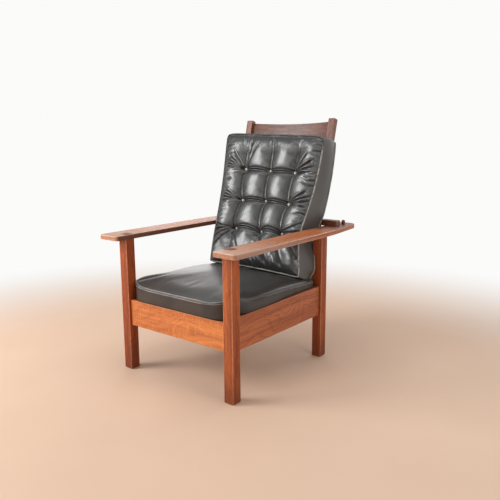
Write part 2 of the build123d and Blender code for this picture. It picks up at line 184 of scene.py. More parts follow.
floor_material, tree = new_material("pale floor")
place = object_place(tree)
floor_tone = blend(noise(place, 3.0, 4.0), (0.7, 0.485, 0.35, 1), (0.76, 0.535, 0.39, 1))
lit_floor = add(tree, "BsdfPrincipled", {"Base Color": floor_tone, "Roughness": 0.7})
from_middle = add(tree, "VectorMath", {0: place, 1: (0.25, -0.45, 0.0)}, operation="DISTANCE")
fade = times(ramp(from_middle.outputs["Value"], 1.25, 2.9), seen_past(tree))
backdrop = add(tree, "Emission", {"Color": backdrop_colour, "Strength": 1.0})
add(tree, "OutputMaterial", {"Surface": add(tree, "MixShader", {
    0: fade, 1: lit_floor.outputs[0], 2: backdrop.outputs[0]}).outputs[0]})
floor_reach = 9.0
corners = ((-1, -1), (1, -1), (1, 1), (-1, 1))
floor = put("floor", [(x * floor_reach, y * floor_reach, 0) for x, y in corners], [(0, 1, 2, 3)],
            floor_material)


def lamp(name, place, target, size, power, tint):
    light = bpy.data.lights.new(name, "AREA")
    light.shape = "RECTANGLE"
    light.size, light.size_y = size
    light.energy = power
    light.color = tint
    source = bpy.data.objects.new(name, light)
    source.location = place
    source.rotation_euler = (Vector(target) - Vector(place)).to_track_quat("-Z", "Y").to_euler()
    scene.collection.objects.link(source)


chest = (0, 0, 0.6)
lamp("tall window", (-2.15, -2.45, 1.85), chest, (1.6, 2.1), 99.0, (0.99, 0.995, 1.0))
lamp("front", (-0.2, -3.3, 1.9), chest, (3.0, 2.2), 21.0, (1.0, 0.985, 0.96))
lamp("top", (0.1, 0.1, 3.2), chest, (2.4, 2.4), 26.0, (1.0, 1.0, 1.0))
lamp("right", (3.0, -0.3, 1.5), chest, (1.8, 1.8), 22.0, (1.0, 0.99, 0.98))
lamp("rear left", (-2.3, 2.2, 1.2), (-0.1, -0.1, 0.42), (1.1, 0.9), 7.5, (1.0, 1.0, 1.0))
lamp("rear", (0.6, 3.0, 2.0), chest, (2.0, 1.4), 20.0, (1.0, 1.0, 1.0))


# Legs
# Square oak legs with a through tenon that shows as darker end grain in the top of each arm, and
# long edges paler, partly worn by use and partly painted highlights. Every board has the grain along its
# length.

oak_light, oak_mid, oak_deep = (0.52, 0.125, 0.026, 1), (0.35, 0.068, 0.014, 1), (0.12, 0.024, 0.007, 1)


def new_group(name, inputs, outputs, kind="ShaderNodeTree"):
    """A node group with named sockets of given kinds, its inputs' sockets and its output node."""
    group = bpy.data.node_groups.new(name, kind)
    for label, sort, value in inputs:
        socket = group.interface.new_socket(label, in_out="INPUT", socket_type="NodeSocket" + sort)
        if value is not None:
            socket.default_value = value
    for label, sort in outputs:
        group.interface.new_socket(label, in_out="OUTPUT", socket_type="NodeSocket" + sort)
    return group, group.nodes.new("NodeGroupInput").outputs, group.nodes.new("NodeGroupOutput")


figure, inside, outside = new_group(
    "oak figure",
    [("Vector", "Vector", None), ("Light", "Color", oak_light), ("Mid", "Color", oak_mid),
     ("Deep", "Color", oak_deep), ("Cathedral", "Float", 0.5), ("Flecks", "Float", 0.3),
     ("Streaks", "Float", 0.6)],
    [("Color", "Color"), ("Roughness", "Float"), ("Height", "Float")])
along = inside["Vector"]
broad = noise(along, (14.0, 14.0, 1.6), 3.0, 0.4)
streak = noise(along, (85.0, 85.0, 2.6), 4.0, 0.3)
warp = noise(along, (7.0, 7.0, 3.2), 2.0)
warped = vectors(vectors(along, (30.0, 30.0, 1.2), "MULTIPLY"),
                 vectors(warp, (2.6, 2.6, 2.6), "MULTIPLY"), "ADD")
ring = add(figure, "TexWave", {"Vector": warped, "Scale": 1.0, "Distortion": 3.4, "Detail": 2.0,
                               "Detail Scale": 1.2}, bands_direction="DIAGONAL").outputs["Fac"]
pores = ramp(noise(along, (620.0, 620.0, 32.0), 2.0), 0.6, 0.72)
ribbon = noise(along, (16.0, 16.0, 74.0), 2.0, 1.8)
base = blend(ramp(broad, 0.3, 0.72), inside["Mid"], inside["Light"])
for mask, share, tone in ((ramp(streak, 0.42, 0.72), inside["Streaks"], "Deep"),
                          (ramp(ring, 0.52, 0.98), inside["Cathedral"], "Deep"),
                          (ramp(ribbon, 0.53, 0.66), inside["Flecks"], "Light"),
                          (pores, 0.7, "Deep")):
    base = blend(times(mask, share), base, inside[tone])
feed(outside, {
    "Color": base,
    "Roughness": maths(times(pores, 0.2), times(streak, 0.16), "ADD"),
    "Height": maths(times(streak, 0.25), times(pores, 0.8), "SUBTRACT")})

edges, inside, outside = new_group(
    "worn edges",
    [("Vector", "Vector", None), ("Centre", "Vector", None), ("Half Size", "Vector", None),
     ("Width", "Float", 0.006)],
    [("Mask", "Float")])
offset = vectors(inside["Vector"], inside["Centre"], "SUBTRACT")
offset = add(edges, "VectorMath", {0: offset}, operation="ABSOLUTE").outputs[0]
x, y, z = add(edges, "SeparateXYZ", {0: vectors(inside["Half Size"], offset, "SUBTRACT")}).outputs
second_nearest = maths(maths(x, y, "MINIMUM"),
                       maths(maths(x, y, "MAXIMUM"), z, "MINIMUM"), "MAXIMUM")
width = times(inside["Width"], noise(inside["Vector"], 70.0, 4.0, 0.6), 1.6)
near = add(edges, "MapRange", {"Value": second_nearest, "From Min": width, "From Max": 0.0})
feed(outside, {"Mask": ramp(near.outputs["Result"], 0.0, 0.8)})

grain_turns = {"X": (0, -90, 0), "Y": (90, 0, 0), "Z": (0, 0, 0)}   # degrees, grain turned upright


def surface(tree, values):
    """Gives a material a Principled surface with these inputs."""
    add(tree, "OutputMaterial", {"Surface": add(tree, "BsdfPrincipled", values).outputs[0]})


def finish_node(name, material):
    mesh = nodes[name].data
    mesh.materials.clear()
    mesh.materials.append(material)


def oak(name, grain, light=oak_light, mid=oak_mid, deep=oak_deep, cathedral=0.35, flecks=0.25, streaks=0.6,
        worn=(0.56, 0.26, 0.13, 1), wear=0.45, edge_width=0.0032, dark_foot=0.0, coat=0.15, rough=0.42,
        tail=None, end_grain=False, sides=None, joints=None):
    """Finishes a board in varnished oak: grain along its length, edges rubbed, a figure of its own.

    A tail gives the colour that tints the board towards its rear end, and that of its front end, which is
    partly wear and partly a painted sheen.
    Sides are how far from the middle plane an arm's inner and outer edges lie: the inner one painted dark as
    shade, the outer one rubbed paler.
    Joints are the two places along the grain where the board meets its legs, painted dark there as shade.
    """
    material, tree = new_material(f"oak {name}")
    low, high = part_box(name)
    place = object_place(tree)
    x, y, z = add(tree, "SeparateXYZ", {0: place}).outputs
    turn = grain if isinstance(grain, tuple) else grain_turns[grain]
    board = list(nodes).index(name)
    turned = add(tree, "Mapping", {
        "Vector": place, "Rotation": [radians(angle) for angle in turn],
        "Location": (0.37 * board, 0.23 * board, 0.91 * board)}).outputs[0]
    wood = add(tree, "Group", {
        "Vector": turned, "Light": light, "Mid": mid, "Deep": deep, "Cathedral": cathedral,
        "Flecks": flecks, "Streaks": streaks}, node_tree=figure).outputs
    rubbed = add(tree, "Group", {
        "Vector": place, "Centre": (low + high) / 2, "Half Size": (high - low) / 2,
        "Width": edge_width}, node_tree=edges).outputs["Mask"]
    tints = []
    if tail:
        rear_tone, front_wear_and_sheen = tail
        # Painted sheen, with some wear: the top is paler towards the front, and so is the front end; the top
        # darkens towards the rear.
        patchy = maths(times(noise(place, (26.0, 5.0, 26.0), 4.0, 0.6), 0.5), y, "ADD")
        upper = ramp(z, high.z - 0.005, high.z - 0.002)
        tints += [(front_wear_and_sheen, ramp(patchy, 0.32, -0.28), upper, 0.76),
                  (rear_tone, ramp(patchy, 0.36, 0.62), upper, 0.8),
                  (front_wear_and_sheen, ramp(y, low.y + 0.02, low.y + 0.002), 0.4)]
    tints.append((worn, rubbed, wear))
    if sides:
        inner, outer = sides
        away = add(tree, "Math", {0: x}, operation="ABSOLUTE").outputs[0]
        # Painted shade on the inner edge of each arm; the outer edge is rubbed paler towards the front.
        tints += [((0.085, 0.026, 0.011, 1), ramp(away, inner + 0.0025, inner + 0.001), 0.8),
                  ((0.46, 0.33, 0.26, 1), ramp(away, outer - 0.0025, outer - 0.001),
                   ramp(y, 0.16, -0.3), 0.6)]
    if joints:
        along = {"X": x, "Y": y}[grain]
        close = maths(ramp(along, joints[0] + 0.005, joints[0]),
                      ramp(along, joints[1] - 0.005, joints[1]), "MAXIMUM")
        # Painted shade: a dark line at each joint with a leg.
        tints.append(((0.06, 0.018, 0.008, 1), close, 0.75))
    if dark_foot:
        tints.append((deep, ramp(z, 0.16, 0.0), dark_foot))
    if end_grain:
        tints.append(((0.09, 0.03, 0.015, 1), ramp(z, high.z - 0.002, high.z - 0.001), 0.8))
    colour = wood["Color"]
    for tone, *masks in tints:
        colour = blend(times(*masks), colour, tone)
    bump = add(tree, "Bump", {"Height": wood["Height"], "Strength": 0.3, "Distance": 0.0006})
    surface(tree, {
        "Base Color": colour, "Roughness": maths(wood["Roughness"], rough, "ADD"),
        "Normal": bump.outputs[0], "Specular IOR Level": 0.4, "Coat Weight": coat, "Coat Roughness": 0.28})
    finish_node(name, material)


for end in ("front", "rear"):
    for side in ("left", "right"):
        name = f"leg_{end}_{side}"
        light, mid = oak_light, oak_mid
        if name == "leg_front_left":   # a darker board
            light, mid = (0.46, 0.096, 0.015, 1), (0.31, 0.052, 0.008, 1)
        # Pale edges here are partly wear and partly painted highlights along the arrises.
        oak(name, "Z", light, mid, dark_foot=0.55, cathedral=0.32, flecks=0.12, coat=0.0, rough=0.48,
            worn=(0.66, 0.33, 0.18, 1), wear=0.7, edge_width=0.004, end_grain=True)


# Rails
# Four boards tenoned into the legs. The front one is quarter-sawn, with bright ray flecks; the side
# ones have darker flowing grain.

between_legs = (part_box("leg_front_left")[1].x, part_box("leg_front_right")[0].x)
oak("front_rail", "X", (0.78, 0.262, 0.065, 1), (0.57, 0.15, 0.032, 1), (0.26, 0.06, 0.016, 1),
    cathedral=0.25, flecks=0.5, streaks=0.35, joints=between_legs)
oak("rear_rail", "X", joints=between_legs)
between_legs = (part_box("leg_front_right")[1].y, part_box("leg_rear_right")[0].y)
for side in ("left", "right"):
    oak(f"side_rail_{side}", "Y", (0.56, 0.17, 0.058, 1), (0.38, 0.09, 0.03, 1), (0.17, 0.04, 0.015, 1),
        cathedral=0.32, joints=between_legs)


# Arms
# Flat boards mortised for the legs. Their top is pinkish and paler towards the front, partly worn and partly
# a painted sheen, and greyer and darker towards the rear ends.

arm_edges = (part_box("arm_right")[0].x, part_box("arm_right")[1].x)
for side in ("left", "right"):
    # Pale rim edges are partly wear and partly painted highlights.
    oak(f"arm_{side}", "Y", (0.58, 0.18, 0.05, 1), (0.44, 0.115, 0.028, 1), worn=(0.7, 0.45, 0.34, 1),
        wear=0.85, edge_width=0.0045, flecks=0.15, coat=0.12,
        tail=((0.2, 0.085, 0.055, 1), (0.56, 0.34, 0.24, 1)), sides=arm_edges)


# Seat deck
# Screwed cleats inside the side rails, and slats across them that carry the cushion, all unvarnished.

bare_light, bare_mid, bare_deep = (0.5, 0.33, 0.19, 1), (0.4, 0.25, 0.14, 1), (0.24, 0.13, 0.065, 1)
deck_boards = [(f"seat_slat_{number}", "X") for number in range(1, 7)]
deck_boards += [("seat_cleat_left", "Y"), ("seat_cleat_right", "Y")]
for name, grain in deck_boards:
    oak(name, grain, bare_light, bare_mid, bare_deep, wear=0.2, coat=0.0)


# Fittings
# Countersunk screws of the deck and the plain steel pins that the back turns on, dulled by age.

steel, tree = new_material("dull steel")
tarnish = noise(object_place(tree), 160.0, 4.0)
steel_colour = blend(ramp(tarnish, 0.4, 0.7), (0.36, 0.34, 0.31, 1), (0.2, 0.16, 0.13, 1))
surface(tree, {"Base Color": steel_colour, "Metallic": 1.0,
               "Roughness": maths(times(tarnish, 0.3), 0.25, "ADD")})
for name in ("cleat_screws", "slat_screws", "pivot_pin_left", "pivot_pin_right"):
    finish_node(name, steel)


# Back frame
# Two leaning posts with bowed boards let into them. The crest rail and the posts are redder and
# duller than the seat frame.

lean = 15.0   # degrees
for side in ("left", "right"):
    oak(f"back_post_{side}", (lean, 0, 0), (0.26, 0.08, 0.034, 1), (0.16, 0.044, 0.018, 1),
        (0.05, 0.013, 0.006, 1), wear=0.0, coat=0.2, rough=0.36)
    oak(f"pivot_spacer_{side}", "X")
for name in ("crest_rail", "back_slat_1", "back_slat_2", "back_slat_3", "back_bottom_rail"):
    oak(name, "X", (0.2, 0.062, 0.026, 1), (0.12, 0.034, 0.014, 1), (0.04, 0.01, 0.004, 1),
        wear=0.0, cathedral=0.3, coat=0.18, rough=0.26)


# Support bar and pegs
# The back leans on the bar, which slides on the arms; the turned pegs stop it. All are dark and rubbed.

bar_colours = ((0.2, 0.06, 0.03, 1), (0.13, 0.036, 0.018, 1), (0.06, 0.016, 0.009, 1))
oak("support_bar", "X", *bar_colours, worn=(0.3, 0.16, 0.1, 1), wear=0.4)
for side in ("left", "right"):
    oak(f"peg_{side}", "Z", *bar_colours, wear=0.0)


# Seat cushion
# A loose spring cushion in smooth black leather: a crowned top, a boxing all round, and a
# self-covered welt between them. The front corners are well rounded, the front stands over the rail.

grain_group, inside, outside = new_group(
    "leather grain", [("Vector", "Vector", None), ("Cell", "Float", 700.0)],
    [("Height", "Float"), ("Mottle", "Float")])
cells = add(grain_group, "TexVoronoi", {
    "Vector": inside["Vector"], "Scale": inside["Cell"]}, feature="DISTANCE_TO_EDGE")
creased = ramp(cells.outputs["Distance"], 0.0, 0.25)
fold = noise(inside["Vector"], 240.0, 4.0, 0.4)
feed(outside, {
    "Height": maths(times(creased, 0.5), times(fold, 0.5), "ADD"),
    "Mottle": noise(inside["Vector"], 9.0, 3.0, 0.3)})


def leather(name, colour, worn_colour, roughness, coat, coat_rough=0.2, bump_strength=0.12, specular=0.5,
            coat_ior=1.5, crease_shading=False):
    """Dyed leather with a fine grain, a slow mottle of its dye and a soft top coat.

    Where the mesh marks its creases, shade is painted into them: they are darker and duller, and
    such leather loses its gloss where it is seen at a slant.
    """
    material, tree = new_material(name)
    grain = add(tree, "Group", {"Vector": object_place(tree)}, node_tree=grain_group).outputs
    tone = blend(ramp(grain["Mottle"], 0.35, 0.7), colour, worn_colour)
    rough = maths(times(grain["Mottle"], 0.16), roughness, "ADD")
    if crease_shading:
        # Painted shade: the creases that the mesh marks render darker, and their gloss is dulled.
        crease_shade_mask = add(tree, "Attribute", attribute_name="crease_shade").outputs["Fac"]
        tone = blend(times(crease_shade_mask, 0.8), tone, (0.006, 0.006, 0.006, 1))
        rough = maths(rough, times(crease_shade_mask, 0.25), "ADD")
        slanting = add(tree, "LayerWeight", {"Blend": 0.5}).outputs["Facing"]
        coat = times(maths(1.0, crease_shade_mask, "SUBTRACT"), ramp(slanting, 0.85, 0.3), coat)
        rough = maths(rough, times(ramp(slanting, 0.3, 0.9), 0.4), "ADD")
    bump = add(tree, "Bump", {"Height": grain["Height"], "Strength": bump_strength, "Distance": 0.0005})
    surface(tree, {
        "Base Color": tone, "Roughness": rough, "Normal": bump.outputs[0], "Specular IOR Level": specular,
        "Coat Weight": coat, "Coat Roughness": coat_rough, "Coat IOR": coat_ior})
    return material


seat_leather = leather("seat leather", (0.02, 0.018, 0.016, 1), (0.034, 0.029, 0.025, 1), 0.36, 0.6, 0.34)
# The boxing's leather is dark, with a brown tint painted in as the floor's reflection.
seat_side_leather = leather("seat side leather", (0.026, 0.016, 0.011, 1), (0.052, 0.034, 0.023, 1),
                            0.48, 0.0)
# Pale leather for the painted highlights along the welt's edges.
welt_highlight_leather = leather("welt highlight leather", (0.18, 0.16, 0.135, 1), (0.46, 0.42, 0.36, 1), 0.36, 0.3)


def grid_faces(rows, columns, start=0):
    """Quads of a grid whose points run along the columns first."""
    firsts = [start + row * columns + column for row in range(rows - 1) for column in range(columns - 1)]
    return [(first, first + 1, first + columns + 1, first + columns) for first in firsts]


def rim_of(rows, columns):
    """Indices round the edge of a grid, once, anticlockwise."""
    grid = np.arange(rows * columns).reshape(rows, columns)
    return np.concatenate([grid[0], grid[1:, -1], grid[-1, -2::-1], grid[-2:0:-1, 0]]).tolist()


def ease(value, low, high):
    """0 below a range, 1 above it, and smooth within."""
    share = np.clip((value - low) / (high - low), 0.0, 1.0)
    return share * share * (3 - 2 * share)


def band(value, start, full, fading, end):
    """1 from full to fading, and smoothly 0 before the start and after the end."""
    return ease(value, start, full) * (1 - ease(value, fading, end))


def bell(distance, width):
    """A bell curve: 1 at a line, and fading out past a width."""
    return np.exp(-(distance / width) ** 2)


def grown(name, points, lines, radius, material, build):
    """A plain mesh that geometry nodes with a set radius grow on points and the lines between them."""
    mesh = bpy.data.meshes.new(name + " route")
    mesh.from_pydata([tuple(point) for point in points], lines, [])
    route = bpy.data.objects.new(name + " route", mesh)
    scene.collection.objects.link(route)
    tree, inside, outside = new_group(name, [("Geometry", "Geometry", None), ("Radius", "Float", radius)],
                                      [("Geometry", "Geometry")], "GeometryNodeTree")
    shape = build(tree, inside["Geometry"], inside["Radius"])
    for kind, values in (("SetShadeSmooth", {}), ("RealizeInstances", {}),
                         ("SetMaterial", {"Material": material})):
        shape = add(tree, kind, {"Geometry": shape, **values}).outputs[0]
    feed(outside, {"Geometry": shape})
    modifier = route.modifiers.new(name, "NODES")
    modifier.node_group = tree
    modifier[inside["Radius"].identifier] = radius
    bpy.context.view_layer.update()
    evaluated = route.evaluated_get(bpy.context.evaluated_depsgraph_get())
    piece = bpy.data.objects.new(name, bpy.data.meshes.new_from_object(evaluated))
    scene.collection.objects.link(piece)
    bpy.data.objects.remove(route)
    piece.data.name = name
    return piece


def tube(tree, geometry, radius):
    """Nodes for a round tube along lines."""
    line = add(tree, "MeshToCurve", {"Mesh": geometry})
    ring = add(tree, "CurvePrimitiveCircle", {"Resolution": 10, "Radius": radius})
    return add(tree, "CurveToMesh", {
        "Curve": line.outputs[0], "Profile Curve": ring.outputs["Curve"], "Fill Caps": True}).outputs[0]


def welt(name, paths, radius, material, closed=True):
    """Round welts that follow paths of points, closed into loops or with open ends."""
    points, lines = [], []
    for path in paths:
        first, count = len(points), len(path)
        points += list(path)
        steps = range(count if closed else count - 1)
        lines += [(first + step, first + (step + 1) % count) for step in steps]
    return grown(name, points, lines, radius, material, tube)


def settled(points, held, growth, pressure=3.0, cap=0.022, frames=20):
    """How far each point of a panel moves when its leather, a little too large, is stuffed out."""
    rows, columns = points.shape[:2]
    panel = put("panel", points.reshape(-1, 3), grid_faces(rows, columns), seat_leather)
    group = panel.vertex_groups.new(name="held")
    for index, weight in enumerate(held.reshape(-1)):
        group.add([index], float(weight), "REPLACE")
    cloth = panel.modifiers.new("cloth", "CLOTH")
    settings = cloth.settings
    settings.quality = 5
    settings.mass = 0.35
    settings.tension_stiffness = settings.compression_stiffness = 12
    settings.shear_stiffness = 4
    settings.bending_stiffness = 0.4
    settings.vertex_group_mass = "held"
    settings.shrink_min = -growth
    settings.use_pressure = True
    settings.uniform_pressure_force = pressure
    settings.effector_weights.gravity = 0
    cloth.point_cache.frame_start, cloth.point_cache.frame_end = 1, frames
    for number in range(1, frames + 1):
        scene.frame_set(number)
    shaped = panel.evaluated_get(bpy.context.evaluated_depsgraph_get())
    places = np.empty(rows * columns * 3, np.float32)
    shaped.data.vertices.foreach_get("co", places)
    bpy.data.objects.remove(panel)
    scene.frame_set(1)
    moves = places.reshape(points.shape) - points
    length = np.linalg.norm(moves, axis=-1, keepdims=True)
    return moves * np.minimum(1, cap / np.maximum(length, 1e-9))


def finer(values, step):
    """A grid with more places between its neighbours, evened out by a little smoothing."""
    for axis in (0, 1):
        values = np.moveaxis(values, axis, 0)
        count = len(values)
        places = np.linspace(0, count - 1, (count - 1) * step + 1)
        low = np.minimum(places.astype(int), count - 2)
        share = (places - low)[:, None, None]
        values = values[low] * (1 - share) + values[low + 1] * share
        values[1:-1] = (values[:-2] + 2 * values[1:-1] + values[2:]) / 4
        values = np.moveaxis(values, 0, axis)
    return values


def rounded_plan(across, along, half, front, rear, front_radius, rear_radius):
    """A square grid drawn onto a rectangle with round corners: its rings become rounder outwards."""
    ring = np.maximum(np.abs(across), np.abs(along)) + 1e-9
    side, end = across / ring * half, front + (along / ring + 1) / 2 * (rear - front)
    for edge, radius, way in ((front, front_radius, 1), (rear, rear_radius, -1)):
        out_side = np.abs(side) - (half - radius)
        out_end = (edge + way * radius - end) * way
        reach = np.hypot(out_side, out_end) + 1e-9
        cut = (out_side > 0) & (out_end > 0)
        side = np.where(cut, np.sign(side) * (half - radius + out_side / reach * radius), side)
        end = np.where(cut, edge + way * (radius - out_end / reach * radius), end)
    middle = (front + rear) / 2
    plain_side, plain_end = across * half, middle + along * (rear - front) / 2
    weight = ring ** 2
    return (plain_side * (1 - weight) + side * ring * weight,
            plain_end * (1 - weight) + (middle + (end - middle) * ring) * weight)


def skirt(rim, start, rows):
    """Quads from a rim, seen anticlockwise, down through rows of as many points, and the last row."""
    count, faces, upper = len(rim), [], rim
    for row in range(rows):
        lower = [start + row * count + step for step in range(count)]
        faces += [(upper[(step + 1) % count], upper[step], lower[step], lower[(step + 1) % count])
                  for step in range(count)]
        upper = lower
    return faces, upper


front_rail_top, side_rail_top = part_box("front_rail")[1].z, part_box("side_rail_right")[1].z
side_rail_inner, front_rail_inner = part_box("side_rail_right")[0].x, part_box("front_rail")[1].y
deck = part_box("seat_slat_1")[1].z + 0.0005
seat_half_width = 0.284
rear_leg_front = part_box("leg_rear_right")[0].y
seat_front, seat_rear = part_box("seat_cushion")[0].y - 0.001, rear_leg_front - 0.016
seat_front_radius, seat_rear_radius = 0.086, 0.02
seat_crown = 0.034
seat_rows = seat_columns = 141
welt_level, corner_lift = 0.3795, 0.0165
corner_across, corner_along, corner_reach = 0.262, -0.35, 0.07
foot_front, foot_level, foot_slope = 0.111, 0.3985, 0.27   # the back cushion's lower end, less a little

step_across, step_along = np.meshgrid(np.linspace(-1, 1, seat_columns), np.linspace(-1, 1, seat_rows))
seat_x, seat_y = rounded_plan(step_across, step_along, seat_half_width, seat_front, seat_rear,
                              seat_front_radius, seat_rear_radius)


def welt_height(x, y):
    """The seat's welt turns up at the front corners; it drops to the rear, more in the right half."""
    corner = bell(np.abs(x) - corner_across, corner_reach) * bell(y - corner_along, corner_reach)
    drop = (0.008 + 0.003 * np.sign(x)) * ease(y, -0.1, 0.16)
    return welt_level + corner_lift * corner - drop


dome = ((1 - np.abs(step_across) ** 6) * (1 - np.abs(step_along) ** 4)) ** 0.5
ripple = 0.0009 * np.sin(seat_x * 21 + 1.3) * np.sin(seat_y * 16 + 0.4)
rear_sag = 0.004 * ease(seat_y, -0.1, 0.1)
seat_z = welt_height(seat_x, seat_y) + (seat_crown - rear_sag + ripple) * dome
under_back = foot_level - foot_slope * (seat_y - foot_front)
seat_z = np.where(seat_y > 0.06, np.minimum(seat_z, under_back), seat_z)
seat_top = np.stack([seat_x, seat_y, seat_z], -1)
coarse = seat_top[::2, ::2]
seat_edge = 1 - np.maximum(np.abs(step_across), np.abs(step_along))[::2, ::2]
held = np.maximum(seat_edge < 0.01, 0.9 * ease(coarse[..., 1], 0.04, 0.12))
moves = finer(settled(coarse, held, 0.001), 2)
seat_top = seat_top + moves - [0, 0, 1] * moves.mean((0, 1))
top_points = seat_top.reshape(-1, 3)

rim = rim_of(seat_rows, seat_columns)
count = len(rim)
rim_points = top_points[rim]
rim_plan, rim_level = rim_points[:, :2], rim_points[:, 2]
rim_across, rim_along = step_across.reshape(-1)[rim], step_along.reshape(-1)[rim]
inner_x, inner_y = rounded_plan(rim_across, rim_along, side_rail_inner - 0.002, front_rail_inner + 0.002,
                                seat_rear, 0.09, seat_rear_radius)
side_share = ease(np.abs(rim_points[:, 0]), 0.25, 0.28)
behind_leg = ease(rim_points[:, 1], -0.35, -0.29)
swell = 0.0015 + side_share * behind_leg * (0.003 + 0.012 * ease(0.08 - rim_points[:, 1], 0.0, 0.3))
rail_level = front_rail_top + (side_rail_top - front_rail_top) * side_share
from_centre = rim_plan - [0.0, (seat_front + seat_rear) / 2]
endwise = from_centre[:, 1] / np.linalg.norm(from_centre, axis=1)
outward = np.stack([np.sign(rim_points[:, 0]) * side_share, endwise * (1 - side_share)], -1)
boxing_rows = 9
swell_arch = 0.62 * pi   # the part of a sine's arch that the boxing's swell takes
rail_gap = 0.0012
inner_half_width, inner_half_depth = 0.28, 0.38
layers = []
for row in range(1, boxing_rows + 1):
    share = row / boxing_rows
    level = rim_level * (1 - share) + (rail_level + rail_gap) * share
    plan = rim_plan + outward * (swell * sin(swell_arch * share) / sin(swell_arch))[:, None]
    layers.append(np.column_stack([plan, level]))
for drop, inset in ((0.0, 0.0), (0.4, 0.0), (0.8, 0.0), (1.0, 0.007)):
    level = (rail_level - rail_gap) * (1 - drop) + deck * drop
    plan = np.stack([inner_x * (1 - inset / inner_half_width), inner_y * (1 - inset / inner_half_depth)], -1)
    layers.append(np.column_stack([plan, level]))
top_faces = grid_faces(seat_rows, seat_columns)
sides, last = skirt(rim, len(top_points), len(layers))
seat = put("seat_cushion_leather", np.concatenate([top_points] + layers),
           top_faces + sides + [tuple(reversed(last))], seat_leather, seat_side_leather, len(top_faces))
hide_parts("seat_cushion")
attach(seat, "chair_frame")

welt_loop = np.column_stack([rim_plan + outward * 0.0012, rim_level])
# Two pale cords on the welt's upper and lower edges: painted highlights.
ridge_loop = rim_points + np.column_stack([-0.0042 * outward, np.full(count, 0.0036)])
lip_loop = rim_points + np.column_stack([0.0022 * outward, np.full(count, -0.0044)])
seat_welt = welt("seat_cushion_welt", [welt_loop], 0.0034, seat_leather)
seat_seams = welt("seat_cushion_welt_highlights", [ridge_loop, lip_loop], 0.0012, welt_highlight_leather)
for piece in (seat_welt, seat_seams):
    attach(piece, "chair_frame")


# Back cushion
# A loose tufted cushion, narrower where the arms hold it. Three lapped seams run down its face
# through three rows of buttons; folds join the buttons and fan out to the piping.

back_leather = leather("back leather", (0.008, 0.008, 0.008, 1), (0.014, 0.014, 0.0138, 1), 0.44, 0.9, 0.32,
                       bump_strength=0.2, specular=0.7, coat_ior=1.7, crease_shading=True)
boxing_leather = leather("boxing leather", (0.073, 0.071, 0.066, 1), (0.103, 0.1, 0.095, 1), 0.42, 0.2, 0.3)

pivot = Vector(next(joint for joint in frame["joints"] if joint["name"] == "back_tilt")["pos_m"])
lean_cos, lean_sin = cos(radians(lean)), sin(radians(lean))
forward_way = np.array([0, -lean_cos, lean_sin])
rear_plane = 0.0165   # forward of the posts' axis, metres


def leaned_point(across, up, forward):
    """Points of the leaned back, in the row frame: across, up along the posts, forward of their axis."""
    return np.stack([
        across + 0 * up,
        pivot.y + up * lean_sin - forward * lean_cos,
        pivot.z + up * lean_cos + forward * lean_sin], -1)


# Height up the back, left and right half width and distance forward of the front piping, metres
piping_front = np.array([
    (-0.016, 0.264, 0.263, 0.118), (0.05, 0.262, 0.252, 0.124), (0.12, 0.256, 0.243, 0.131),
    (0.19, 0.254, 0.243, 0.131), (0.275, 0.262, 0.255, 0.119), (0.35, 0.268, 0.264, 0.112),
    (0.42, 0.273, 0.270, 0.109), (0.52, 0.279, 0.276, 0.110), (0.62, 0.287, 0.281, 0.111)])
# The same for the rear piping
piping_rear = np.array([
    (-0.012, 0.266, 0.266, 0.030), (0.020, 0.284, 0.284, 0.032), (0.072, 0.278, 0.278, 0.040),
    (0.112, 0.260, 0.260, 0.032), (0.145, 0.252, 0.252, 0.021), (0.19, 0.2555, 0.2555, rear_plane),
    (0.228, 0.261, 0.261, rear_plane), (0.275, 0.277, 0.277, rear_plane), (0.35, 0.284, 0.284, rear_plane),
    (0.457, 0.288, 0.288, rear_plane), (0.62, 0.284, 0.284, rear_plane)])


def from_table(table, up):
    """Left half width, right half width and forward distance at a height, eased over 30 mm."""
    spread = np.linspace(-0.015, 0.015, 7)
    return [np.interp(up[..., None] + spread, table[:, 0], table[:, column]).mean(-1)
            for column in (1, 2, 3)]


front_shape, rear_shape = (piping_front, 0.036, 0.009), (piping_rear, 0.03, 0.006)
panel_bottom, panel_top = -0.009, 0.622   # height up the back at the middle, metres
usual_half_width = 0.27


def panel_ends(across_share, slope):
    """Heights of a panel's bottom, which sags onto the seat, and of its slanting top."""
    guess = across_share * usual_half_width
    return panel_bottom - 0.017 * guess - 0.1 * guess ** 2, panel_top - slope * guess


def cushion_grid(across_share, up_share, table, slope, corner_draw):
    """Across, up, forward and the half width for shares of a panel whose corners are drawn in."""
    bottom, top = panel_ends(across_share, slope)
    end = 2 * up_share - 1
    corner = corner_draw * np.abs(across_share) ** 12 * np.abs(end) ** 12
    up = bottom + (top - bottom) * up_share - np.where(end > 0, 1.0, -0.3) * corner
    left, right, forward = from_table(table, up)
    half = np.where(across_share < 0, left, right)
    return across_share * (half - np.where(end > 0, 1.0, 0.3) * corner), up, forward, half


button_places = (
    ((-0.143, 0.164), (0.010, 0.161), (0.127, 0.162)),
    ((-0.135, 0.304), (0.004, 0.307), (0.135, 0.301)),
    ((-0.144, 0.456), (0.004, 0.451), (0.143, 0.447)),
)
button_depths = (0.101, 0.096, 0.096)   # forward of the posts' axis
seam_half_width = 0.0034
row_levels = [row[1][1] for row in button_places]
seam_levels = (-0.02, *row_levels, 0.63)
seam_ends = ((-0.135, -0.142), (-0.004, 0.008), (0.118, 0.160))
crease_arches = (0.016, 0.005, 0.004)


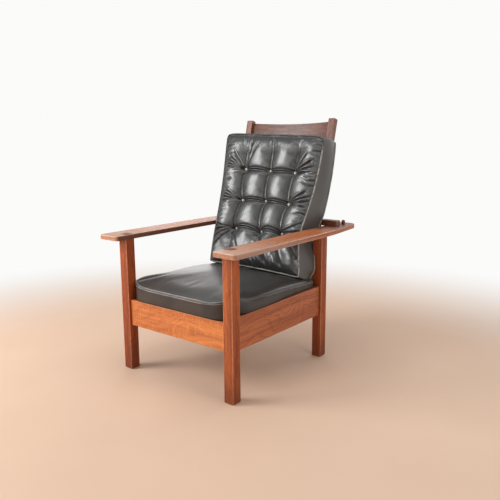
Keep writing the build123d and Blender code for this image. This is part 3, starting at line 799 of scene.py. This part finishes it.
def seam_across(number, up):
    """Where a seam runs at a height: through its buttons, bowed a little to the left between them."""
    columns = [row[number][0] for row in button_places]
    low_end, high_end = seam_ends[number]
    line = np.interp(up, seam_levels, (low_end, *columns, high_end))
    low_row, middle_row, high_row = row_levels
    gap = (up - low_row) / (middle_row - low_row) * pi
    between = band(up, low_row, low_row + 0.02, high_row - 0.02, high_row)
    line = line - 0.008 * np.abs(np.sin(gap)) ** 0.7 * between
    for level in row_levels:
        line = line + 0.014 * band(level - up, -0.002, 0.004, 0.003, 0.024)
    return line


def along_row(number, across):
    """The level of a row of buttons, and how far from them a place is: 0 at each, 1 midway."""
    columns, heights = zip(*button_places[number])
    midway = np.abs(np.sin(np.interp(across, columns, (0.0, 1.0, 2.0)) * pi))
    return np.interp(across, columns, heights), midway


def tufting(across, up, edge):
    """How far the stuffed face stands forward of its piping, without its small folds."""
    seams = [across - seam_across(number, up) for number in range(3)]
    outside = np.maximum(np.maximum(-seams[0], seams[2]), 0.0)
    nearest = np.maximum(np.min(np.abs(seams), axis=0) - seam_half_width, 0.0)
    bay = 1 - np.clip(nearest / np.where(outside > 0, 0.060, 0.066), 0, 1)
    bay *= 1 - 0.75 * ease(row_levels[0] - 0.012 - up, 0.0, 0.06)
    bay *= 1 - 0.5 * ease(up, 0.53, 0.61)
    creases = []
    for number, arch in enumerate(crease_arches):
        level, midway = along_row(number, across)
        creases.append(up - level - arch * midway)
    row = 1 - np.clip(np.min(np.abs(creases), axis=0) / 0.052, 0, 1)
    row *= 1 - ease(outside, 0.0, 0.055)
    pillow = (1 - bay ** 2.15) * (1 - 0.85 * row ** 2.4)
    rise = 1 - (1 - np.clip(edge / 0.05, 0, 1)) ** 2.4
    rise *= 0.15 + 0.85 * (1 - (1 - np.clip((panel_top - up) / 0.15, 0, 1)) ** 2)
    relief = rise * (-0.004 + 0.0165 * pillow + 0.016 * bell(up - 0.03, 0.055))
    faded = band(up, row_levels[0] - 0.04, row_levels[0], 0.53, 0.6)
    relief -= 0.0026 * faded * bell(nearest - 0.0015, 0.0035)
    return relief, seams, creases


def folds(across, up, half, edge, creases):
    """The small folds of the face: tucks along the rows, fans at the buttons, puckers at the piping."""
    relief = np.zeros_like(across)
    for number, crease in enumerate(creases):
        first, last = button_places[number][0][0], button_places[number][2][0]
        within = band(across, first - 0.004, first + 0.012, last - 0.012, last + 0.004)
        swell = along_row(number, across)[1] ** 0.5
        spread = 0.0052 * swell
        relief -= 0.0030 * within * bell(crease, 0.0024)
        for side, depth in ((1, 0.0044), (-1, 0.0034)):
            lip = side * crease - spread
            relief += within * (0.0044 * swell * bell(lip, 0.0026) - depth * bell(lip - 0.0058, 0.0032))
    # A button's row and column, which way its folds run, and each fold's angle in degrees and depth
    fans = (
        (2, 0, 1, ((6, 0.004), (15, 0.006), (24, 0.0066), (34, 0.006), (50, 0.004))),
        (1, 0, 1, ((-4, 0.004), (7, 0.006), (16, 0.0062), (26, 0.005))),
        (0, 0, 1, ((-22, 0.004), (-6, 0.004), (9, 0.004))),
        (2, 2, -1, ((2, 0.004), (16, 0.006), (32, 0.0075), (55, 0.005))),
        (1, 2, -1, ((-6, 0.004), (8, 0.0045), (20, 0.0065), (34, 0.006))),
        (0, 2, -1, ((-10, 0.004), (10, 0.005), (28, 0.005))),
    )
    for row, column, way, rays in fans:
        centre_across, centre_up = button_places[row][column]
        run = (centre_across - across) * way
        lift = up - centre_up
        reach = np.hypot(run, lift)
        for angle, depth in rays:
            slope = radians(angle)
            bend = 0.10 * np.clip(run, 0, 1) * (1 if way < 0 else 0.4) * slope
            away = lift * cos(slope) - run * sin(slope) + bend * reach * 4
            along = run * cos(slope) + lift * sin(slope)
            strength = band(along, 0.006, 0.02, 0.09, 0.135)
            relief -= depth * strength * (bell(away, 0.0036) - 0.45 * bell(away - 0.0075, 0.0045))
    # Wider folds up and down from the left buttons, in the same terms
    for row, column, rays in ((2, 0, ((62, 0.004), (78, 0.003))), (0, 0, ((-60, 0.003), (-140, 0.004)))):
        centre_across, centre_up = button_places[row][column]
        run, lift = across - centre_across, up - centre_up
        for angle, depth in rays:
            slope = radians(angle)
            along = run * cos(slope) + lift * sin(slope)
            away = -run * sin(slope) + lift * cos(slope)
            strength = band(along, 0.008, 0.03, 0.11, 0.17)
            relief -= depth * strength * (bell(away, 0.004 + along * 0.04)
                                          - 0.6 * bell(away - 0.008 - along * 0.06, 0.005 + along * 0.05))
    # Long pleats that run down from the lowest buttons: start, end, depth and half width
    for from_across, from_up, to_across, to_up, depth, width in (
            (0.010, 0.152, 0.085, 0.016, 0.0095, 0.010), (0.088, 0.150, 0.172, 0.016, 0.0105, 0.011),
            (0.165, 0.152, 0.252, 0.050, 0.005, 0.008), (0.190, 0.150, 0.250, 0.100, 0.004, 0.007),
            (-0.058, 0.070, -0.020, 0.004, 0.004, 0.006), (-0.012, 0.062, 0.024, 0.002, 0.0045, 0.006)):
        length = np.hypot(to_across - from_across, to_up - from_up)
        run, lift = (to_across - from_across) / length, (to_up - from_up) / length
        along = (across - from_across) * run + (up - from_up) * lift
        away = (up - from_up) * run - (across - from_across) * lift
        away = away + 0.05 * along * (along - length) / length
        strength = band(along, 0.0, 0.3 * length, 0.8 * length, 1.1 * length)
        ridges = bell(away - 2.1 * width, 1.3 * width) + bell(away + 2.1 * width, 1.3 * width)
        relief -= depth * strength * (bell(away, width) - 0.55 * ridges)
    # Puckers at the side pipings, then at the top and over the foot, then slow waves
    random = np.random.default_rng(11)
    pucker_count, wave_count = 48, 16
    pitch = np.cumsum(random.uniform(0.014, 0.026, pucker_count))
    for side, depth in ((1, 0.0036), (-1, 0.0014)):
        gap = half - side * across
        for centre, strength in zip(pitch - 0.01, random.uniform(0.35, 1.2, pucker_count)):
            tilt, length = random.uniform(-0.15, 0.3), random.uniform(0.045, 0.1)
            near = band(gap, 0.0, 0.008, 0.5 * length, length)
            place = up - centre - tilt * gap - 0.002 * np.sin(gap * 90 + 20 * centre)
            near *= 0.15 + 0.85 * ease(up, 0.10, 0.17)
            relief -= depth * strength * near * (bell(place, 0.005) - 0.5 * bell(place - 0.009, 0.0055))
    places = np.arange(-0.24, 0.25, 0.032)
    places = places + random.uniform(-0.008, 0.008, len(places))
    for place, strength, tilt in zip(places, random.uniform(0.3, 1.1, len(places)),
                                     random.uniform(-0.3, 0.3, len(places))):
        gap = 0.615 - up
        near = ease(edge, 0.0, 0.008) * (1 - ease(gap, 0.025, 0.07)) * (up > 0.5)
        relief -= 0.0009 * strength * near * bell(across - place - tilt * gap, 0.006)
        low = up + 0.01
        near = ease(edge, 0.0, 0.012) * (1 - ease(low, 0.06, 0.13))
        near *= bell(across + 0.01, 0.07)
        relief -= 0.0036 * strength * near * bell(across - place - 0.01 - tilt * low, 0.0075)
    for length, heading, phase in zip(random.uniform(0.026, 0.055, wave_count),
                                      random.uniform(0, pi, wave_count),
                                      random.uniform(0, 2 * pi, wave_count)):
        wave = (across * cos(heading) + up * sin(heading)) * 2 * pi / length
        relief += 0.0015 * length * np.sin(wave + phase)
    return relief * ease(edge, 0.0, 0.006)


def closer_near(count, low, high, places, reach, extra):
    """Places along a line, closer together near some of them."""
    fine = np.linspace(low, high, 3000)
    weight = 1 + extra * sum(bell(fine - place, reach) for place in places)
    total = np.concatenate([[0], np.cumsum((weight[1:] + weight[:-1]) / 2)])
    return np.interp(np.linspace(0, total[-1], count), total, fine)


face_rows, face_columns = 261, 221      # one more than a multiple of four
rear_step = 4
across_shares = closer_near(face_columns, -1, 1, (-0.52, 0.02, 0.5, 0.93), 0.06, 1.2)
panel_length = panel_top - panel_bottom
up_shares = closer_near(face_rows, 0, 1, [(level - panel_bottom) / panel_length for level in row_levels],
                        0.035, 1.3)
share_across, share_up = np.meshgrid(across_shares, up_shares)
across, up, forward, half = cushion_grid(share_across, share_up, *front_shape)
edge = np.minimum(half - np.abs(across), np.minimum(share_up, 1 - share_up) * panel_length)
smooth_relief, seams, creases = tufting(across, up, edge)
face_points = leaned_point(across, up, forward + smooth_relief)
coarse = (slice(None, None, 2), slice(None, None, 2))
on_seam = np.min(np.abs(seams), axis=0)[coarse]
held = np.where(edge[coarse] < 0.002, 1.0, 0.8 * bell(on_seam, 0.004))
for place_across, place_up in (place for row in button_places for place in row):
    reach = np.hypot(across - place_across, up - place_up)[coarse]
    held = np.maximum(held, reach < 0.011)
face_points = face_points + finer(settled(face_points[coarse], held, 0.012), 2)
face_points = face_points + folds(across, up, half, edge, creases)[..., None] * forward_way
for row, depth in zip(button_places, button_depths):
    for place_across, place_up in row:
        reach = np.hypot(across - place_across, up - place_up)
        nearest = np.unravel_index(np.argmin(reach), reach.shape)
        target = leaned_point(across[nearest], up[nearest], depth)
        pulled = 0.6 * bell(reach, 0.015) + 0.4 * bell(reach, 0.034)
        face_points = face_points + pulled[..., None] * (target - face_points[nearest])


def on_face(line_across, line_up, lift):
    """Points on the finished face, read off its grid, and lifted a little off it."""
    left, right, _ = from_table(piping_front, line_up)
    share = line_across / np.where(line_across < 0, left, right)
    bottom, top = panel_ends(share, front_shape[1])
    columns = np.interp(share, across_shares, np.arange(face_columns))
    rows = np.interp((line_up - bottom) / (top - bottom), up_shares, np.arange(face_rows))
    column = np.minimum(columns.astype(int), face_columns - 2)
    row = np.minimum(rows.astype(int), face_rows - 2)
    in_column, in_row = (columns - column)[:, None], (rows - row)[:, None]
    below, above = (face_points[level, column] * (1 - in_column) + face_points[level, column + 1] * in_column
                    for level in (row, row + 1))
    return below * (1 - in_row) + above * in_row + forward_way * lift


seam_lines = []
for number, top_end in enumerate((0.565, 0.604, 0.56)):
    heights = np.linspace(row_levels[0] - 0.03, top_end, 220)
    for side in (-1, 1):
        seam_lines.append(on_face(seam_across(number, heights) + side * seam_half_width, heights, 0.0008))

height = face_points @ forward_way
around = height.copy()
smoothings = 24
for turn in range(smoothings):
    around[1:-1] = (around[:-2] + 2 * around[1:-1] + around[2:]) / 4
    around[:, 1:-1] = (around[:, :-2] + 2 * around[:, 1:-1] + around[:, 2:]) / 4
# Painted shade in the face's creases: places below the smoothed face are marked to render darker.
crease_shade = ease(around - height, 0.0002, 0.0022)
crease_shade = np.maximum(crease_shade, 0.65 * ease(up, 0.565, 0.6))      # a strip under the top piping, painted darker and duller as shade
# A pale line on the face, just inside its left and top piping: a painted highlight
piping_highlight_line = np.concatenate([face_points[60:-4, 3], face_points[-4, 4:-3]])
seam_lines.append(piping_highlight_line + 0.0006 * forward_way)
face_points = face_points.reshape(-1, 3)

rim = rim_of(face_rows, face_columns)
front_rim = face_points[rim]
rim_across, rim_up = share_across.reshape(-1)[rim], share_up.reshape(-1)[rim]
rear_across, rear_up, rear_forward, _ = cushion_grid(rim_across, rim_up, *rear_shape)
rear_rim = leaned_point(rear_across, rear_up, rear_forward)
side_rows = 14
out_across = np.sign(rim_across) * ease(np.abs(rim_across), 0.93, 1.0)
out_up = np.sign(rim_up - 0.5) * ease(np.abs(2 * rim_up - 1), 0.95, 1.0)
slack = 1 - 0.8 * bell(rim_up - 0.33, 0.12)      # least where the arms hold the cushion
layers = []
for row in range(1, side_rows + 1):
    share = row / side_rows
    bulge = 0.007 * sin(pi * share) * slack
    layers.append(front_rim * (1 - share) + rear_rim * share + np.stack([
        out_across * bulge, out_up * bulge * lean_sin, out_up * bulge * lean_cos], -1))
coarse_across, coarse_up = share_across[::rear_step, ::rear_step], share_up[::rear_step, ::rear_step]
grid_across, grid_up, grid_forward, _ = cushion_grid(coarse_across, coarse_up, *rear_shape)
grid_forward = np.minimum(
    grid_forward, rear_plane + (grid_forward - rear_plane) * np.abs(coarse_across) ** 3)
rear_points = leaned_point(grid_across, grid_up, grid_forward).reshape(-1, 3)
coarse_rows, coarse_columns = coarse_across.shape

count = len(rim)
front_faces = grid_faces(face_rows, face_columns)
sides, last = skirt(rim, len(face_points), side_rows - 1)
rear_start = len(face_points) + (side_rows - 1) * count
rear_faces = [tuple(reversed(face)) for face in grid_faces(coarse_rows, coarse_columns, rear_start)]
coarse_rim = [rear_start + index for index in rim_of(coarse_rows, coarse_columns)]
for step, first in enumerate(coarse_rim):
    fine = [last[(step * rear_step + number) % count] for number in range(rear_step + 1)]
    sides.append(tuple(reversed(fine)) + (first, coarse_rim[(step + 1) % len(coarse_rim)]))
back = put("back_cushion_leather", np.concatenate([face_points] + layers[:-1] + [rear_points]),
           front_faces + sides + rear_faces, back_leather, boxing_leather, len(front_faces))
# The painted crease shade goes onto the mesh as a point attribute.
marks = np.zeros(len(back.data.vertices), np.float32)
marks[:face_rows * face_columns] = crease_shade.reshape(-1)
back.data.attributes.new("crease_shade", "FLOAT", "POINT").data.foreach_set("value", marks)
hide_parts("back_cushion")

piping_leather, tree = new_material("piping leather")
place = object_place(tree)
x, y, z = add(tree, "SeparateXYZ", {0: place}).outputs
pale = blend(ramp(noise(place, 40.0, 4.0, 0.5), 0.35, 0.7),
             (0.36, 0.335, 0.285, 1), (0.16, 0.15, 0.13, 1))
dark_top = ramp(z, 0.93, 0.975)
dark_left = times(ramp(x, -0.2, -0.24), ramp(z, 0.56, 0.64))
cream_colour = blend(maths(dark_top, dark_left, "MAXIMUM"), pale, (0.03, 0.03, 0.029, 1))
surface(tree, {"Base Color": cream_colour, "Roughness": 0.4})
piping = welt("back_cushion_piping", [front_rim, rear_rim], 0.0031, piping_leather)

# Pale cords along each seam's two edges: partly light stitching, partly painted highlights on the edges. The
# line inside the piping uses them as a painted highlight too.
seam_leather = leather("seam leather", (0.1, 0.096, 0.088, 1), (0.22, 0.21, 0.19, 1), 0.45, 0.0)
seam_cords = welt("back_cushion_seams", seam_lines, 0.001, seam_leather, closed=False)

for piece in (back, piping, seam_cords):
    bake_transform(piece)


# Tuft buttons
# Nine small pale domes, each drawn down into its tuft.

button_radius = 0.0066
button_cover, tree = new_material("button leather")
soil = noise(object_place(tree), 90.0, 3.0, 0.4)
surface(tree, {"Base Color": blend(soil, (0.62, 0.57, 0.48, 1), (0.36, 0.33, 0.27, 1)),
               "Roughness": 0.4})


def domes(tree, geometry, radius):
    """Nodes for a flattened ball on each point, facing forward."""
    ball = add(tree, "MeshUVSphere", {"Segments": 20, "Rings": 12, "Radius": radius})
    dome_shape = add(tree, "Transform", {
        "Geometry": ball.outputs["Mesh"], "Scale": (1.0, 1.0, 0.55), "Rotation": (radians(90 - lean), 0, 0)})
    return add(tree, "InstanceOnPoints", {"Points": geometry, "Instance": dome_shape.outputs[0]}).outputs[0]


button_centres = [leaned_point(place_across, place_up, depth + 0.0015)
                  for row, depth in zip(button_places, button_depths) for place_across, place_up in row]
buttons = grown("tuft_buttons_covered", button_centres, [], button_radius, button_cover, domes)
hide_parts("tuft_buttons")
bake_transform(buttons)
